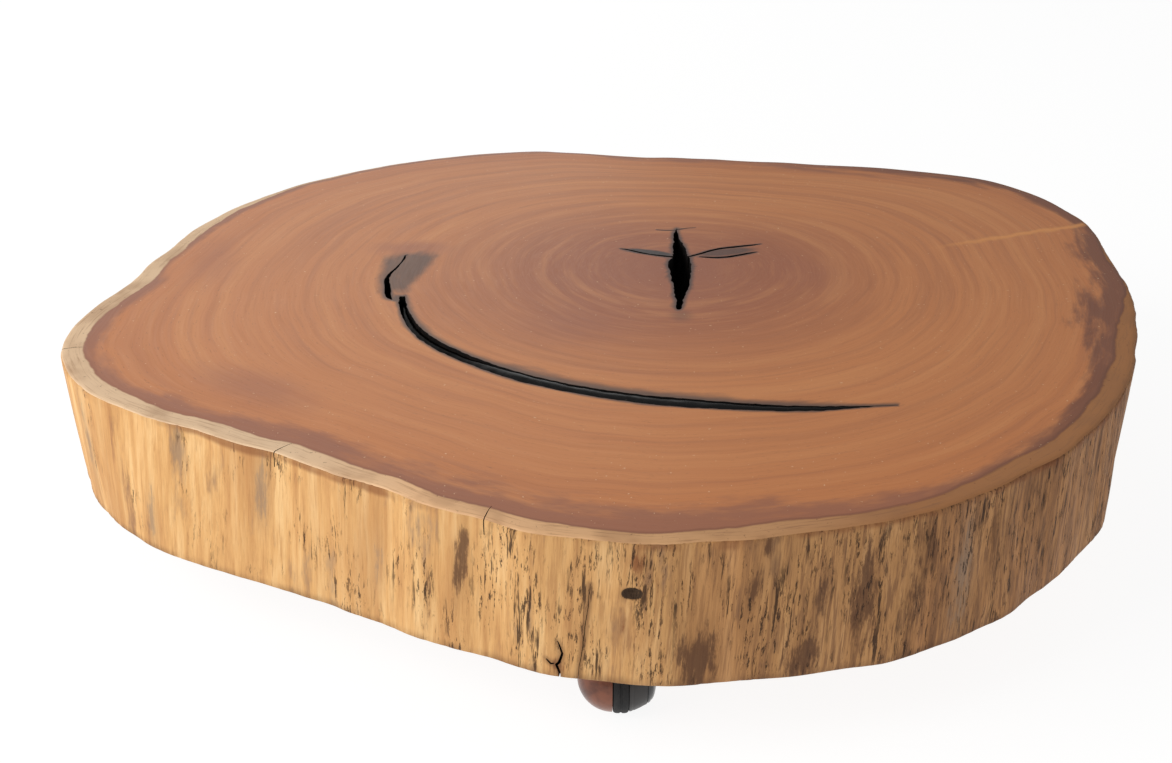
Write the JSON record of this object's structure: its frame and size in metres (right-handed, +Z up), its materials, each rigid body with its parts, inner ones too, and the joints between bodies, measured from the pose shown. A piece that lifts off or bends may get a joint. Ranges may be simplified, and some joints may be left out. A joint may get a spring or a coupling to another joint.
{
  "type": "wood slice low table",
  "caption": "Thick slice of a hardwood trunk with live edge, heart check and resin-filled ring shake, carried on ball casters.",
  "frame": {"origin": "on the floor, under the middle of the bounding box", "axes": "+X to the right along the slice's widest direction, +Y to the back, +Z up"},
  "size_m": [1.0586, 0.956, 0.202],
  "materials": {
    "wood": "oiled satin top, raw debarked edge",
    "resin": "gloss black",
    "zinc": "zinc plated",
    "caster_hood": "antique copper, glossy",
    "rubber_tread": "matte black",
    "caster_hub": "dark grey, satin",
    "end_cap": "black, satin"
  },
  "bodies": {
    "table": {"wood_slice": "wood", "shake_resin": "resin", "front_caster_plate": "zinc", "front_caster_kingpin": "zinc", "front_caster_screw_1": "zinc", "front_caster_screw_2": "zinc", "front_caster_screw_3": "zinc", "front_caster_screw_4": "zinc", "right_caster_plate": "zinc", "right_caster_kingpin": "zinc", "right_caster_screw_1": "zinc", "right_caster_screw_2": "zinc", "right_caster_screw_3": "zinc", "right_caster_screw_4": "zinc", "back_caster_plate": "zinc", "back_caster_kingpin": "zinc", "back_caster_screw_1": "zinc", "back_caster_screw_2": "zinc", "back_caster_screw_3": "zinc", "back_caster_screw_4": "zinc", "left_caster_plate": "zinc", "left_caster_kingpin": "zinc", "left_caster_screw_1": "zinc", "left_caster_screw_2": "zinc", "left_caster_screw_3": "zinc", "left_caster_screw_4": "zinc"},
    "front_fork": {"front_caster_hood": "caster_hood", "front_caster_axle": "zinc"},
    "front_wheel": {"front_caster_tread": "rubber_tread", "front_caster_hub": "caster_hub", "front_caster_cap": "end_cap"},
    "right_fork": {"right_caster_hood": "caster_hood", "right_caster_axle": "zinc"},
    "right_wheel": {"right_caster_tread": "rubber_tread", "right_caster_hub": "caster_hub", "right_caster_cap": "end_cap"},
    "back_fork": {"back_caster_hood": "caster_hood", "back_caster_axle": "zinc"},
    "back_wheel": {"back_caster_tread": "rubber_tread", "back_caster_hub": "caster_hub", "back_caster_cap": "end_cap"},
    "left_fork": {"left_caster_hood": "caster_hood", "left_caster_axle": "zinc"},
    "left_wheel": {"left_caster_tread": "rubber_tread", "left_caster_hub": "caster_hub", "left_caster_cap": "end_cap"}
  },
  "joints": [
    {"name": "front_swivel", "type": "hinge", "parent": "table", "child": "front_fork", "pos_m": [-0.022, -0.39, 0.0655], "axis": [0, 0, 1], "continuous": true},
    {"name": "front_roll", "type": "hinge", "parent": "front_fork", "child": "front_wheel", "pos_m": [-0.016, -0.404, 0.03], "axis": [1, 0, 0], "continuous": true},
    {"name": "right_swivel", "type": "hinge", "parent": "table", "child": "right_fork", "pos_m": [0.39, 0.015, 0.0655], "axis": [0, 0, 1], "continuous": true},
    {"name": "right_roll", "type": "hinge", "parent": "right_fork", "child": "right_wheel", "pos_m": [0.40015, 0.02635, 0.03], "axis": [-0.4226, 0.9063, 0], "continuous": true},
    {"name": "back_swivel", "type": "hinge", "parent": "table", "child": "back_fork", "pos_m": [0.01, 0.36, 0.0655], "axis": [0, 0, 1], "continuous": true},
    {"name": "back_roll", "type": "hinge", "parent": "back_fork", "child": "back_wheel", "pos_m": [-0.00136, 0.37015, 0.03], "axis": [-0.9063, -0.4226, 0], "continuous": true},
    {"name": "left_swivel", "type": "hinge", "parent": "table", "child": "left_fork", "pos_m": [-0.395, -0.01, 0.0655], "axis": [0, 0, 1], "continuous": true},
    {"name": "left_roll", "type": "hinge", "parent": "left_fork", "child": "left_wheel", "pos_m": [-0.40412, -0.0222, 0.03], "axis": [0.5, -0.866, 0], "continuous": true}
  ]
}
